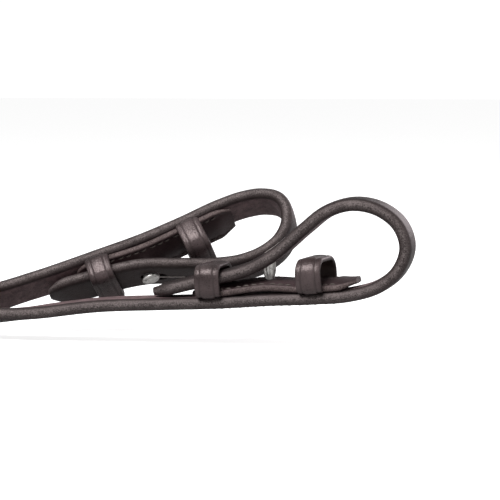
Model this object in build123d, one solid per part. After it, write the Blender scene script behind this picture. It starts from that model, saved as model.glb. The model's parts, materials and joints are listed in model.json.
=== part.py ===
from build123d import *
import math
import os

# A pair of leather riding reins.
# Each rein ends in a hook-stud billet that folds round the bit ring; the two
# hand ends are joined by a small buckle. The reins are wound up into one flat
# coil standing on its edges, and both bit ends lead out of it to the right.
# Millimetres, X along the bit ends, Y across them and Z up. The floor is Z = 0.
# While drawing, X = 0 is where the two leads come clear of the coil and Y = 0 is
# the near edge of the front rein. When a node is saved it is moved so that the
# origin is the middle of the footprint of the whole.

os.makedirs("parts", exist_ok=True)

# ---- driving dimensions ----------------------------------------------------
STRAP_WIDTH = 16.0
STRAP_THICK = 4.8
CLEARANCE = 0.3
# Room at a flex line, so that the two square ends can tip towards each other.
FLEX_GAP = 0.9

LAY_THICK = 2.4
LAY_POINT = 9.0
BILLET_POINT = 9.0
KEEPER_WIDTH = 9.5
KEEPER_WALL = 1.7
KEEPER_SLACK = 0.5
KEEPER_CORNER = 0.6

STITCH_LENGTH = 2.3
STITCH_WIDTH = 0.8
STITCH_PITCH = 3.4
STITCH_DEPTH = 0.5
STITCH_INSET = 2.0

STUD_BASE_RADIUS = 4.2
STUD_BASE_THICK = 1.0
STUD_COLLAR_HEIGHT = 2.2
STUD_NECK_RADIUS = 2.2
STUD_HEAD_LENGTH = 7.2
STUD_HEAD_WIDTH = 5.6
STUD_HEAD_THICK = 1.5
STUD_HEIGHT = 13.8
BILLET_TRAVEL = 3.0

# The coil: two straps side by side, wound inwards clockwise seen from above.
COIL_CENTRE_X = -108.0
COIL_RADIUS = 72.0
COIL_INNER_RADIUS = 40.0
STRAP_PITCH = 5.6
CORE_BEND_RADIUS = 13.0
FRONT_ENTRY_Y = 13.0

# The hand ends taper to a narrower strap for the buckle.
HAND_WIDTH = 12.0
HAND_THICK = 3.4
HAND_HEIGHT = 9.5
BAR_RADIUS = 1.3
BUCKLE_LENGTH = 17.0
BUCKLE_LIFT = 3.6
BAR_PLACE = -4.0
TONGUE_RADIUS = 1.0
TONGUE_LENGTH = BUCKLE_LENGTH + 2.2
TONGUE_WIDTH = 3.4
# Lift angles at which room is kept for the tongue in the holed end.
TONGUE_LIFTS = (0, 6, 12, 18)

HALF_WIDTH = STRAP_WIDTH / 2
HALF_THICK = STRAP_THICK / 2
LAY_TOP = HALF_THICK + LAY_THICK
COIL_CENTRE_Y = FRONT_ENTRY_Y + COIL_RADIUS
COIL_CENTRE = Vector(COIL_CENTRE_X, COIL_CENTRE_Y, 0)
UP = Vector(0, 0, 1)

# ---- the two bit ends, each drawn in its own upright plane -------------------
# The front rein lies with its run at the bottom and its billet folded back
# over the top. The rear rein lies the other way up and is rolled about X.
REAR_ROLL = 35.0
REAR_PLACE = Location((0, 26, 30), (-REAR_ROLL, 0, 0))
FRONT_PLACE = Location((0, 0, 0))


def upright(points):
    """Turns (x, z) pairs into points of the plane Y = 0."""
    return [Vector(x, 0, z) for x, z in points]


def direction(degrees):
    """A unit vector in the plane Y = 0, measured up from +X."""
    return Vector(math.cos(math.radians(degrees)), 0, math.sin(math.radians(degrees)))


FRONT_SLOPE = 5.0
FRONT_HINGE = (38.0, 14.4)
FRONT_CROWN = (156.1, 39.5)
FRONT_TIP = (58.2, 20.7)
FRONT_LEAN = 4.0
front_run = Spline(
    *upright([FRONT_HINGE, (62, 15.7), (86, 16.9), (104, 18.3), (122, 19.3),
              (135, 20.6), (145.5, 23.9), (153, 30), FRONT_CROWN]),
    tangents=(direction(FRONT_SLOPE), direction(90 + FRONT_LEAN)),
)
front_return = Spline(
    *upright([FRONT_CROWN, (153.4, 47), (146.5, 52.6), (136, 54.8), (126, 51.9),
              (117, 44.9), (106, 35.4), (96.5, 29.8), (84, 26.1), (74, 24.0), FRONT_TIP]),
)

REAR_SLOPE = 21.0
REAR_HINGE = (3.0, -7.9)
REAR_CROWN = (103.0, 26.0)
REAR_TIP = (10.6, -11.9)
REAR_LEAN = 17.0
rear_run = Spline(
    *upright([REAR_HINGE, (30, 3.7), (46, 10.9), (61, 18.9), (76, 27.6),
              (84.5, 31.3), (92, 32.8), (99, 31.4), REAR_CROWN]),
    tangents=(direction(REAR_SLOPE), direction(REAR_LEAN - 90)),
)
rear_return = Spline(
    *upright([REAR_CROWN, (103.9, 20), (101.8, 12.8), (96, 6.6), (88, 2.6),
              (78, 0.7), (63, 0.2), (47, -0.6), (37, -3.1), (28, -6.2), REAR_TIP]),
)


# ---- helpers for straps drawn in a plane --------------------------------------
def side_points(path, start, end, offset, count):
    """Points beside a path, the offset measured to the left of its travel."""
    points = []
    for step in range(count + 1):
        part_way = start + (end - start) * step / count
        along = path.tangent_at(part_way)
        left = Vector(-along.Z, 0, along.X)
        points.append(path.position_at(part_way) + left * offset)
    return points


def band(path, start, end, low, high, width=STRAP_WIDTH, near=0.0, count=24):
    """A strap that follows a path between two offsets, cut square at its ends."""
    one_side = side_points(path, start, end, low, count)
    other_side = side_points(path, end, start, high, count)
    outline = Wire([
        Spline(*one_side),
        Line(one_side[-1], other_side[0]),
        Spline(*other_side),
        Line(other_side[-1], one_side[0]),
    ])
    return Pos(0, near, 0) * extrude(Face(outline), amount=width, dir=(0, 1, 0))


def seat(path, part_way, inner, offset=HALF_THICK):
    """A frame standing on the run's inner face: X along, Y across, Z inwards."""
    along = path.tangent_at(part_way)
    inwards = Vector(-along.Z, 0, along.X) * inner
    return Plane(
        origin=path.position_at(part_way) + inwards * offset,
        x_dir=along * inner,
        z_dir=inwards,
    )


def pointed_end_cutter(length, depth):
    """What is cut away round a pointed strap end; the point is at the origin."""
    shoulder = -length * 0.38
    flank = HALF_WIDTH * 0.72
    near_curve = ThreePointArc((-length, -HALF_WIDTH), (shoulder, -flank), (0, 0))
    far_curve = ThreePointArc((0, 0), (shoulder, flank), (-length, HALF_WIDTH))
    point = Face(Wire([near_curve, far_curve, Line(far_curve @ 1, near_curve @ 0)]))
    blank = Pos(-length / 2 + 1, 0) * Rectangle(length + 2, STRAP_WIDTH + 2)
    return extrude(blank - point, amount=depth, both=True)


def pointed(strap, path, part_way, outwards, length, depth=5.0, offset=0.0):
    """Trims one end of a strap to a point; outwards is +1 at the end of the path."""
    along = path.tangent_at(part_way) * outwards
    lift = Vector(-along.Z, 0, along.X) * offset * outwards
    place = Plane(
        origin=path.position_at(part_way) + lift + Vector(0, HALF_WIDTH, 0),
        x_dir=along,
        z_dir=Vector(-along.Z, 0, along.X),
    )
    return strap - place * pointed_end_cutter(length, depth)


def ring(width, inner_low, inner_high, wall, length, base_wall, corner):
    """A leather keeper: a closed band round the strap, X along the strap."""
    outer_height = inner_high - inner_low + wall + base_wall
    outer = Pos(0, (inner_low - base_wall) + outer_height / 2) * RectangleRounded(
        width + 2 * wall, outer_height, corner + wall)
    inner = Pos(0, (inner_low + inner_high) / 2) * RectangleRounded(
        width, inner_high - inner_low, corner)
    lying = extrude(outer - inner, amount=length / 2, both=True)
    # The section was drawn in (across, inwards); stand it across the strap.
    return Plane(origin=(0, 0, 0), x_dir=(0, 1, 0), z_dir=(1, 0, 0)) * lying


def stitch():
    """One stitch of waxed thread, lying along X."""
    return extrude(SlotOverall(STITCH_LENGTH, STITCH_WIDTH), amount=STITCH_DEPTH - 0.05)


def stitch_row(path, start, end, surface, inner, across):
    """A row of stitches sunk in a face; surface is its distance from the path."""
    length = path.length * (end - start)
    count = int(length / STITCH_PITCH)
    made = []
    for number in range(count):
        part_way = start + (end - start) * (number + 0.5) / count
        place = seat(path, part_way, inner, surface - STITCH_DEPTH)
        place.origin = place.origin + Vector(0, across, 0)
        made.append(place * stitch())
    return made


def stitch_groove(path, start, end, surface, inner, across):
    """The groove a row of stitches lies in."""
    low = inner * (surface - STITCH_DEPTH - 0.03)
    high = inner * (surface + 0.5)
    width = STITCH_WIDTH + 0.3
    return band(path, start, end, low, high, width, across - width / 2)


# ---- one bit end ----------------------------------------------------------------
def hook_stud():
    """Base plate, waisted fluted neck and an oval head, standing on the lay."""
    foot = Pos(0, 0, LAY_THICK + 0.02)
    standing = (Align.CENTER, Align.CENTER, Align.MIN)
    base = foot * Cylinder(STUD_BASE_RADIUS, STUD_BASE_THICK, align=standing)
    collar = foot * Pos(0, 0, STUD_BASE_THICK) * Cone(
        STUD_NECK_RADIUS + 1.2, STUD_NECK_RADIUS, STUD_COLLAR_HEIGHT, align=standing)
    head_low = STUD_HEIGHT - STUD_HEAD_THICK
    neck_low = LAY_THICK + STUD_BASE_THICK
    neck = Pos(0, 0, neck_low) * Cylinder(
        STUD_NECK_RADIUS, head_low - neck_low, align=standing)
    head = Pos(0, 0, head_low) * extrude(
        Ellipse(STUD_HEAD_LENGTH / 2, STUD_HEAD_WIDTH / 2), amount=STUD_HEAD_THICK)
    head = fillet(head.edges(), 0.5)
    stud = base + collar + neck + head
    return Pos(0, HALF_WIDTH, 0) * stud


def stud_opening(length, width, shift, low):
    """The hole stretched open in the billet, seen along the stud."""
    shape = Pos(shift, HALF_WIDTH) * SlotOverall(length, width)
    return extrude(Pos(0, 0, low) * shape, amount=2 * STUD_HEIGHT)


def bit_end(name, run, back, inner, place, marks, opening, keeper_heights):
    """Makes the nodes of one bit end; marks are distances along the run."""
    marks = {mark: distance / run.length for mark, distance in marks.items()}
    strap = band(run, FLEX_GAP / run.length, 1 - CLEARANCE / 2 / run.length,
                 -HALF_THICK, HALF_THICK, count=36)
    lay_low, lay_high = sorted((inner * (HALF_THICK + 0.02), inner * LAY_TOP))
    lay = band(run, marks["lay start"], marks["lay end"], lay_low, lay_high)
    lay = pointed(lay, run, marks["lay start"], -1, LAY_POINT, offset=inner * LAY_TOP)
    lay = pointed(lay, run, marks["lay end"], 1, LAY_POINT, offset=inner * LAY_TOP)

    keepers = {}
    for side, height in keeper_heights.items():
        spot = seat(run, marks[side], inner)
        middle = Pos(0, HALF_WIDTH, 0)
        notch = middle * Box(
            KEEPER_WIDTH + 2 * CLEARANCE, STRAP_WIDTH + 8, 2 * (KEEPER_WALL + 0.05))
        lay = lay - spot * notch
        keeper = middle * ring(
            STRAP_WIDTH + 2 * KEEPER_SLACK, KEEPER_WALL, height, KEEPER_WALL,
            KEEPER_WIDTH, KEEPER_WALL - 0.03, KEEPER_CORNER)
        keepers[side] = spot * keeper

    threads = []
    for across in (STITCH_INSET, STRAP_WIDTH - STITCH_INSET):
        first = marks["lay start"] + (LAY_POINT - 1) / run.length
        last = marks["lay end"] - (LAY_POINT - 1) / run.length
        lay = lay - stitch_groove(run, first, last, LAY_TOP, inner, across)
        strap = strap - stitch_groove(run, first, last, HALF_THICK, -inner, across)
        threads += stitch_row(run, first, last, LAY_TOP, inner, across)
        threads += stitch_row(run, first, last, HALF_THICK, -inner, across)

    stud_spot = seat(run, marks["stud"], inner)
    billet = band(back, CLEARANCE / 2 / back.length, 1, -HALF_THICK, HALF_THICK, count=32)
    billet = pointed(billet, back, 1, 1, BILLET_POINT)
    billet = billet - stud_spot * stud_opening(*opening)

    save(place * strap, name + "_bit_end_strap")
    save(place * billet, name + "_billet")
    save(place * lay, name + "_lay")
    save(place * (stud_spot * hook_stud()), name + "_hook_stud")
    save(place * keepers["fixed keeper"], name + "_billet_keeper")
    save(place * keepers["spare keeper"], name + "_stud_keeper")
    save(place * Compound(threads), name + "_lay_stitching")


# The footprint: the coil on the left, the front loop on the right, the keepers'
# near walls in front and the outermost turn at the back.
LEFT = COIL_CENTRE_X - (COIL_RADIUS - STRAP_PITCH / 2 + HALF_THICK)
RIGHT = FRONT_CROWN[0] + HALF_THICK
NEAR = -(KEEPER_SLACK + KEEPER_WALL)
FAR = COIL_CENTRE_Y + COIL_RADIUS - STRAP_PITCH + HALF_THICK
TO_MIDDLE = Pos(-(LEFT + RIGHT) / 2, -(NEAR + FAR) / 2, 0)


def save(shape, node):
    """Writes one node, moved so that the origin is the footprint's middle."""
    export_step(TO_MIDDLE * shape, "parts/" + node + ".step")


# ---- twisting leads and the coil ---------------------------------------------------
def section(centre, along, roll, width, thick):
    """A strap section; along points to the bit end, roll lifts the near edge."""
    along = along.normalized()
    level = UP.cross(along).normalized()
    upper = along.cross(level)
    angle = math.radians(roll)
    across = level * math.cos(angle) - upper * math.sin(angle)
    plane = Plane(origin=centre, x_dir=across, z_dir=along)
    return plane * Rectangle(width, thick)


def ease(value):
    """A smooth step from 0 to 1."""
    value = min(max(value, 0.0), 1.0)
    return value * value * (3 - 2 * value)


def lead(path, roll_start, twist_from, twist_to, count=16):
    """The twisting length from the flex line of a bit end down to the coil."""
    made = []
    for step in range(count + 1):
        part_way = step / count
        centre = path.position_at(part_way)
        turned = ease((twist_from - centre.X) / (twist_from - twist_to))
        roll = roll_start + (90 - roll_start) * turned
        along = path.tangent_at(part_way) * -1
        if step == count:
            along = Vector(1, 0, 0)
        made.append(section(centre, along, roll, STRAP_WIDTH, STRAP_THICK))
    return loft(made)


def coil_radius(start_radius, turns):
    return start_radius - 2 * STRAP_PITCH * turns


def coil_point(radius, turns):
    angle = math.radians(-90 - 360 * turns)
    return COIL_CENTRE + Vector(radius * math.cos(angle), radius * math.sin(angle), 0)


def coil(start_radius):
    """The wound length: two spirals joined at their ends and raised from the floor."""
    turns = (start_radius - COIL_INNER_RADIUS) / (2 * STRAP_PITCH)
    count = int(turns * 24)
    outer, inner = [], []
    for step in range(count + 1):
        place = turns * step / count
        radius = coil_radius(start_radius, place)
        outer.append(coil_point(radius + HALF_THICK, place))
        inner.append(coil_point(radius - HALF_THICK, place))
    inner.reverse()
    outline = Wire([
        Spline(*outer), Line(outer[-1], inner[0]), Spline(*inner), Line(inner[-1], outer[0]),
    ])
    return extrude(Face(outline), amount=STRAP_WIDTH, dir=(0, 0, 1)), turns


# ---- the core of the coil ------------------------------------------------------------
core_reach = COIL_INNER_RADIUS - CORE_BEND_RADIUS
core_meet = math.degrees(math.acos(CORE_BEND_RADIUS / core_reach))
CORE_SWEEP = 180 - core_meet
CORE_STRAIGHT = math.sqrt(core_reach ** 2 - CORE_BEND_RADIUS ** 2)


def core_bend(turns, end_thick, count=10):
    """The tight bend from the inmost turn to the straight line through the centre."""
    start_angle = -90 - 360 * turns
    outwards = Vector(math.cos(math.radians(start_angle)), math.sin(math.radians(start_angle)), 0)
    middle = COIL_CENTRE + outwards * core_reach
    made = []
    for step in range(count + 1):
        part_way = step / count
        angle = math.radians(start_angle - CORE_SWEEP * part_way)
        radial = Vector(math.cos(angle), math.sin(angle), 0)
        along = Vector(-math.sin(angle), math.cos(angle), 0)
        taper = ease(part_way)
        width = STRAP_WIDTH + (HAND_WIDTH - STRAP_WIDTH) * taper
        thick = STRAP_THICK + (end_thick - STRAP_THICK) * taper
        height = HALF_WIDTH + (HAND_HEIGHT - HALF_WIDTH) * taper
        centre = middle + radial * CORE_BEND_RADIUS + UP * height
        made.append(section(centre, along, 90, width, thick))
    return loft(made)


front_coil, front_turns = coil(COIL_RADIUS)
rear_coil, rear_turns = coil(COIL_RADIUS - STRAP_PITCH)
hand_angle = math.radians(-90 - 360 * front_turns - CORE_SWEEP)
HAND_LINE = Vector(math.sin(hand_angle), -math.cos(hand_angle), 0)
# The buckle's frame of reference: X along the strap, Y away from its grain
# side, Z up, with the origin at the coil's centre and half-way up the strap.
HAND_PLACE = Plane(origin=COIL_CENTRE + UP * HAND_HEIGHT, x_dir=HAND_LINE, z_dir=UP)


def flat_strap(points, thick, width=HAND_WIDTH):
    """A strap on edge in the buckle's frame, following points in (along, out)."""
    path = Spline(*[Vector(x, 0, y) for x, y in points])
    strap = band(path, 0, 1, -thick / 2, thick / 2, width, -width / 2)
    return Rot(-90, 0, 0) * strap


def chape():
    """The folded end that holds the buckle's bar, slotted for the tongue."""
    wrap = BAR_RADIUS + CLEARANCE
    straight = Box(
        CORE_STRAIGHT + BAR_PLACE, STRAP_THICK, HAND_WIDTH,
        align=(Align.MIN, Align.CENTER, Align.CENTER))
    fold = Pos(CORE_STRAIGHT + BAR_PLACE, 0, 0) * Cylinder(wrap + 2.3, HAND_WIDTH)
    body = Pos(-CORE_STRAIGHT, 0, 0) * (straight + fold)
    body = body - Pos(BAR_PLACE, 0, 0) * Cylinder(wrap, HAND_WIDTH + 2)
    tongue_slot = Pos(BAR_PLACE, 0, 0) * Box(9.0, 12.0, 4.6)
    split = Pos(BAR_PLACE - 7, 0, 0) * Box(14.0, 0.3, HAND_WIDTH + 2)
    return body - tongue_slot - split


def bar(start, end):
    """A round bar between two points."""
    line = Vector(*end) - Vector(*start)
    plane = Plane(origin=Vector(*start), z_dir=line)
    return plane * Cylinder(
        BAR_RADIUS, line.length, align=(Align.CENTER, Align.CENTER, Align.MIN))


def buckle_frame():
    """A rectangular frame of round bar with balls at its corners."""
    reach = HAND_WIDTH / 2 + 0.4 + BAR_RADIUS
    corners = [
        (BAR_PLACE, 0, -reach), (BAR_PLACE + BUCKLE_LENGTH, BUCKLE_LIFT, -reach),
        (BAR_PLACE + BUCKLE_LENGTH, BUCKLE_LIFT, reach), (BAR_PLACE, 0, reach),
    ]
    frame = None
    for number, corner in enumerate(corners):
        side = bar(corner, corners[(number + 1) % 4]) + Pos(*corner) * Sphere(BAR_RADIUS)
        frame = side if frame is None else frame + side
    return frame


def tongue_tilt():
    """The angle at which the tongue rests on the far side of the frame."""
    reach = math.hypot(BUCKLE_LENGTH, BUCKLE_LIFT)
    frame_tilt = math.asin(BUCKLE_LIFT / reach)
    return math.degrees(frame_tilt + math.asin((BAR_RADIUS + TONGUE_RADIUS + 0.15) / reach))



def buckle_tongue():
    """An eye round the bar and a straight pin resting on the far side."""
    eye = Cylinder(BAR_RADIUS + 1.1, TONGUE_WIDTH) - Cylinder(BAR_RADIUS + 0.15, 5)
    start = BAR_RADIUS + 0.6
    pin = Pos(start, 0, 0) * (Rot(0, 90, 0) * Cylinder(
        TONGUE_RADIUS, TONGUE_LENGTH - start, align=(Align.CENTER, Align.CENTER, Align.MIN)))
    return Pos(BAR_PLACE, 0, 0) * Rot(0, 0, tongue_tilt()) * (eye + pin)


def tongue_way(lift):
    """The room the tongue needs at one lift angle."""
    room = Box(TONGUE_LENGTH + 1, 2 * TONGUE_RADIUS + 0.8, 3.2,
               align=(Align.MIN, Align.CENTER, Align.CENTER))
    return Pos(BAR_PLACE, 0, 0) * Rot(0, 0, tongue_tilt() + lift) * room


# How far out the holed end lies from the chape, at most, inside the keepers.
HOLED_OUT = 5.4
HAND_KEEPER_WALL = 1.3
HAND_KEEPER_WIDTH = 5.0
HOLED_TIP = (-24.5, 4.6)
HOLED_POINTS = [
    (CORE_STRAIGHT, 0), (13, -0.1), (5, 2.0), (-3.5, 6.2), (-11, 5.0), (-18, 4.6), HOLED_TIP,
]
HOLED_POINT_LENGTH = 7.0
HOLE_RADIUS = 1.3
HOLES = ((-9.2, 5.0), (-18.5, 4.5), (17.5, 0))


def holed_end():
    """The plain hand end: it passes the buckle and ends in a point."""
    strap = flat_strap(HOLED_POINTS, HAND_THICK)
    tip = Pos(*HOLED_TIP, 0)
    shoulder = HOLED_POINT_LENGTH
    half = HAND_WIDTH / 2
    edge_one = ThreePointArc((shoulder, -half), (shoulder * 0.35, -half * 0.72), (0, 0))
    edge_two = ThreePointArc((0, 0), (shoulder * 0.35, half * 0.72), (shoulder, half))
    point = Face(Wire([edge_one, edge_two, Line(edge_two @ 1, edge_one @ 0)]))
    blank = Pos(shoulder / 2 - 1, 0) * Rectangle(shoulder + 2, HAND_WIDTH + 2)
    cutter = Rot(90, 0, 0) * extrude(blank - point, amount=5, both=True)
    strap = strap - tip * cutter
    for lift in TONGUE_LIFTS:
        strap = strap - tongue_way(lift)
    for along, out in HOLES:
        strap = strap - Pos(along, out, 0) * (Rot(90, 0, 0) * Cylinder(HOLE_RADIUS, 8))
    return strap


def hand_keeper(place):
    """A narrow keeper round the chape and the holed end."""
    low = -HALF_THICK - CLEARANCE
    high = HOLED_OUT + HAND_THICK / 2 + CLEARANCE
    band_round = ring(
        HAND_WIDTH + 2 * CLEARANCE, low, high,
        HAND_KEEPER_WALL, HAND_KEEPER_WIDTH, HAND_KEEPER_WALL, CLEARANCE)
    return Pos(place, 0, 0) * (Rot(-90, 0, 0) * band_round)


def hand_stitches():
    """Stitches that close the chape, on its inner side."""
    made = []
    groove = None
    inset = HAND_WIDTH / 2 - STITCH_INSET
    first = -21.5
    for across in (-inset, inset):
        for number in range(4):
            along = first + number * STITCH_PITCH
            made.append(Pos(along, -HALF_THICK, across) * (Rot(90, 0, 0) * (
                Pos(0, 0, -STITCH_DEPTH + 0.03) * stitch())))
        cut = Pos(first + 1.5 * STITCH_PITCH, -HALF_THICK, across) * Box(
            4 * STITCH_PITCH + 1, 2 * STITCH_DEPTH + 0.1, STITCH_WIDTH + 0.3)
        groove = cut if groove is None else groove + cut
    return made, groove


# ---- build ------------------------------------------------------------------------
front_marks = {
    "lay start": 36.5, "lay end": 101.5, "fixed keeper": 44.2,
    "stud": 66.0, "spare keeper": 83.6,
}
rear_marks = {
    "lay start": 18.5, "lay end": 84.5, "fixed keeper": 28.2,
    "stud": 45.0, "spare keeper": 66.4,
}
HEAD_ROOM = 1.0
# The opening is cut from above the stud's collar upwards.
OPENING_LOW = LAY_THICK + 1.6
OPENING_LENGTH = STUD_HEAD_LENGTH + HEAD_ROOM + BILLET_TRAVEL
OPENING_WIDTH = STUD_HEAD_WIDTH + HEAD_ROOM
# The front billet only rests over its stud: its slot is spread round the head.
# The rear billet is hooked: the head stands just proud of its outer face.
front_opening = (OPENING_LENGTH, OPENING_WIDTH, BILLET_TRAVEL / 2, OPENING_LOW)
rear_opening = (OPENING_LENGTH, OPENING_WIDTH, -BILLET_TRAVEL / 2, OPENING_LOW)
bit_end("front", front_run, front_return, 1, FRONT_PLACE, front_marks, front_opening,
        {"fixed keeper": 10.6, "spare keeper": 11.0})
bit_end("rear", rear_run, rear_return, -1, REAR_PLACE, rear_marks, rear_opening,
        {"fixed keeper": 9.8, "spare keeper": 12.6})

# The front lead leaves its flex line level; the rear one is already rolled.
ENTRY_HEADING = Vector(-1, 0.025, 0)
front_flex = Vector(FRONT_HINGE[0], HALF_WIDTH, FRONT_HINGE[1])
front_path = Spline(
    front_flex, (0, 8.1, 9.6), (-50, 10.6, 8.9), (-88, 12.6, 8.15),
    coil_point(COIL_RADIUS, 0) + UP * HALF_WIDTH,
    tangents=(direction(180 + FRONT_SLOPE), ENTRY_HEADING),
)
rear_flex_frame = REAR_PLACE * Pos(REAR_HINGE[0], HALF_WIDTH, REAR_HINGE[1])
rear_flex = rear_flex_frame.position
roll = math.radians(REAR_ROLL)
rear_slope = math.radians(REAR_SLOPE)
rear_heading = Vector(
    -math.cos(rear_slope),
    -math.sin(rear_slope) * math.sin(roll),
    -math.sin(rear_slope) * math.cos(roll),
)
rear_path = Spline(
    rear_flex, (-18, 23.2, 12.6), (-44, 19.4, 9.2), (-76, 18.5, 8.15),
    coil_point(COIL_RADIUS - STRAP_PITCH, 0) + UP * HALF_WIDTH,
    tangents=(rear_heading, ENTRY_HEADING),
)
rear_level = UP.cross(rear_heading * -1).normalized()
rear_across = Vector(0, math.cos(roll), -math.sin(roll))
rear_roll_start = math.degrees(math.acos(rear_across.dot(rear_level)))

front_strap = lead(front_path, 0.0, 20.0, -88.0)
rear_strap = lead(rear_path, rear_roll_start, 0.0, -72.0)

threads, groove = hand_stitches()
front_hand = HAND_PLACE * (chape() - groove)
front_strap = front_strap + front_coil + core_bend(front_turns, STRAP_THICK) + front_hand
rear_strap = rear_strap + rear_coil + core_bend(rear_turns, HAND_THICK) + HAND_PLACE * holed_end()

save(front_strap, "front_strap")
save(rear_strap, "rear_strap")
save(HAND_PLACE * buckle_frame(), "buckle_frame")
save(HAND_PLACE * buckle_tongue(), "buckle_tongue")
save(HAND_PLACE * hand_keeper(-12.0), "buckle_keeper")
save(HAND_PLACE * hand_keeper(-18.2), "loose_runner")
save(HAND_PLACE * Compound(threads), "buckle_stitching")
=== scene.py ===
import json
import math
import random
import bmesh
import bpy
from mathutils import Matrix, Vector


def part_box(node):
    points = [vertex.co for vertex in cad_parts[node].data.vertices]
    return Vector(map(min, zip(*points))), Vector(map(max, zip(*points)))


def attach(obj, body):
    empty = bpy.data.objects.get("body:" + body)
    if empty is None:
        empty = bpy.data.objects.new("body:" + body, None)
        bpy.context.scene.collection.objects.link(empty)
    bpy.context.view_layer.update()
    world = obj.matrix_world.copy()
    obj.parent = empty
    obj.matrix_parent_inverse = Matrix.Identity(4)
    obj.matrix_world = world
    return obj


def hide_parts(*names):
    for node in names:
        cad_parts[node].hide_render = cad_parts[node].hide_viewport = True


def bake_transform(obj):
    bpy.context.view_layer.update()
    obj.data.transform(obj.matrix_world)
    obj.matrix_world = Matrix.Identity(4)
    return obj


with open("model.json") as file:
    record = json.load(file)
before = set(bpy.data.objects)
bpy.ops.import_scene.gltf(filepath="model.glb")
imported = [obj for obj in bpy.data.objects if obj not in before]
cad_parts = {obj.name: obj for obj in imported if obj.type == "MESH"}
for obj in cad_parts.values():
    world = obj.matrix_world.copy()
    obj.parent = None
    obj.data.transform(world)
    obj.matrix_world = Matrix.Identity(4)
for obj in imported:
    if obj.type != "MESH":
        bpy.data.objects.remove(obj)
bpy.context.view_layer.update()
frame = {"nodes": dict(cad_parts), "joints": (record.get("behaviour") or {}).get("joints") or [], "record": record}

# Leather reins. The long straps are swept from stations. Each station is a place
# on the strap's middle line and the direction from its near to its far edge; a
# strap runs from its hand end to its billet's tip.
JOINTS = {joint["name"]: joint for joint in frame["joints"]}
MM = 0.001
UP = Vector((0, 0, 1))
random.seed(7)


def box_size(node, axis):
    low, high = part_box(node)
    return high[axis] - low[axis]


WIDTH = box_size("front_bit_end_strap", 1)
THICK = 0.3 * WIDTH
LAY_THICK = 0.15 * WIDTH
BEVEL = 2.3 * MM
BEVEL_STEPS = 10
EDGE_SWELL = 0.12 * MM
RUN_STEP = 1.0 * MM
LEAD_STEP = 1.5 * MM
COIL_STEP = 3.0 * MM

FRONT_FLEX = Vector(JOINTS["front_bit_end_flex"]["pos_m"])
REAR_FLEX = Vector(JOINTS["rear_bit_end_flex"]["pos_m"])
REAR_ACROSS = -Vector(JOINTS["rear_bit_end_flex"]["axis"])
REAR_ACROSS = REAR_ACROSS if REAR_ACROSS.y > 0 else -REAR_ACROSS
REAR_OUT = Vector((1, 0, 0)).cross(REAR_ACROSS)
# The floor point under the near edge of the front rein where the leads come
# clear of the coil; the leads are drawn from here.
LEAD_START = FRONT_FLEX - Vector((38 * MM, WIDTH / 2, 14.4 * MM))


# ---- paths ---------------------------------------------------------------------
def heading(degrees):
    """A unit vector in a flat drawing, measured up from its first axis."""
    return Vector((math.cos(math.radians(degrees)), math.sin(math.radians(degrees))))


def smooth_path(points, start_way, end_way, step):
    """Points at an even step along a smooth curve through the given points."""
    points = [Vector(p) for p in points]
    count = len(points)
    slopes = []
    for i in range(count):
        if i == 0:
            slopes.append(Vector(start_way).normalized())
        elif i == count - 1:
            slopes.append(Vector(end_way).normalized())
        else:
            before = (points[i] - points[i - 1]).length
            after = (points[i + 1] - points[i]).length
            back = (points[i] - points[i - 1]) / before
            ahead = (points[i + 1] - points[i]) / after
            slopes.append((back * after + ahead * before) / (before + after))
    dense = []
    parts = 40
    # Cubic curves between the points, cut finely, then shared out evenly below.
    for i in range(count - 1):
        one, two = points[i], points[i + 1]
        span = (two - one).length
        for k in range(parts + (i == count - 2)):
            u = k / parts
            stay = 2 * u ** 3 - 3 * u ** 2 + 1
            leave = (u ** 3 - 2 * u ** 2 + u) * span
            arrive = (u ** 3 - u ** 2) * span
            dense.append(one * stay + slopes[i] * leave + two * (1 - stay) + slopes[i + 1] * arrive)
    lengths = [0.0]
    for one, two in zip(dense, dense[1:]):
        lengths.append(lengths[-1] + (two - one).length)
    total = lengths[-1]
    number = max(2, round(total / step))
    made, at = [], 0
    for k in range(number + 1):
        want = total * k / number
        while at < len(lengths) - 2 and lengths[at + 1] < want:
            at += 1
        gap = lengths[at + 1] - lengths[at]
        part = (want - lengths[at]) / gap if gap > 0 else 0
        made.append(dense[at].lerp(dense[at + 1], min(1, part)))
    return made


def ease(value):
    """A smooth step from 0 to 1."""
    value = min(max(value, 0.0), 1.0)
    return value * value * (3 - 2 * value)


# Offsets of the bit-end paths from their flex points, in millimetres.
FRONT_RUN = [
    (0, 0), (24, 1.3), (48, 2.5), (66, 3.9), (84, 4.9), (97, 6.2), (107.5, 9.5), (115, 15.6),
    (118.1, 25.1)]
FRONT_BACK = [
    (118.1, 25.1), (115.4, 32.6), (108.5, 38.2), (98, 40.4), (88, 37.5), (79, 30.5), (68, 21.0),
    (58.5, 15.4), (46, 11.6), (36, 9.4), (20.2, 5.6)]
REAR_RUN = [
    (0, 0), (27, 11.6), (43, 18.8), (58, 26.8), (73, 35.5), (81.5, 39.2), (89, 40.7),
    (96, 39.3), (100, 33.9)]
REAR_BACK = [
    (100, 33.9), (100.9, 27.9), (98.8, 20.7), (93, 14.5), (85, 10.5), (75, 8.6), (60, 8.1),
    (44, 7.3), (34, 4.8), (25, 1.6), (7.6, -4)]


def front_point(p):
    return FRONT_FLEX + Vector((p.x, 0, p.y)) * MM


def rear_point(p):
    return REAR_FLEX + (Vector((p.x, 0, 0)) + REAR_OUT * p.y) * MM


def flat_stations(points, start, end, place, across):
    path = smooth_path(points, heading(start), heading(end), RUN_STEP / MM)
    return [(place(p), across) for p in path]


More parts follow.
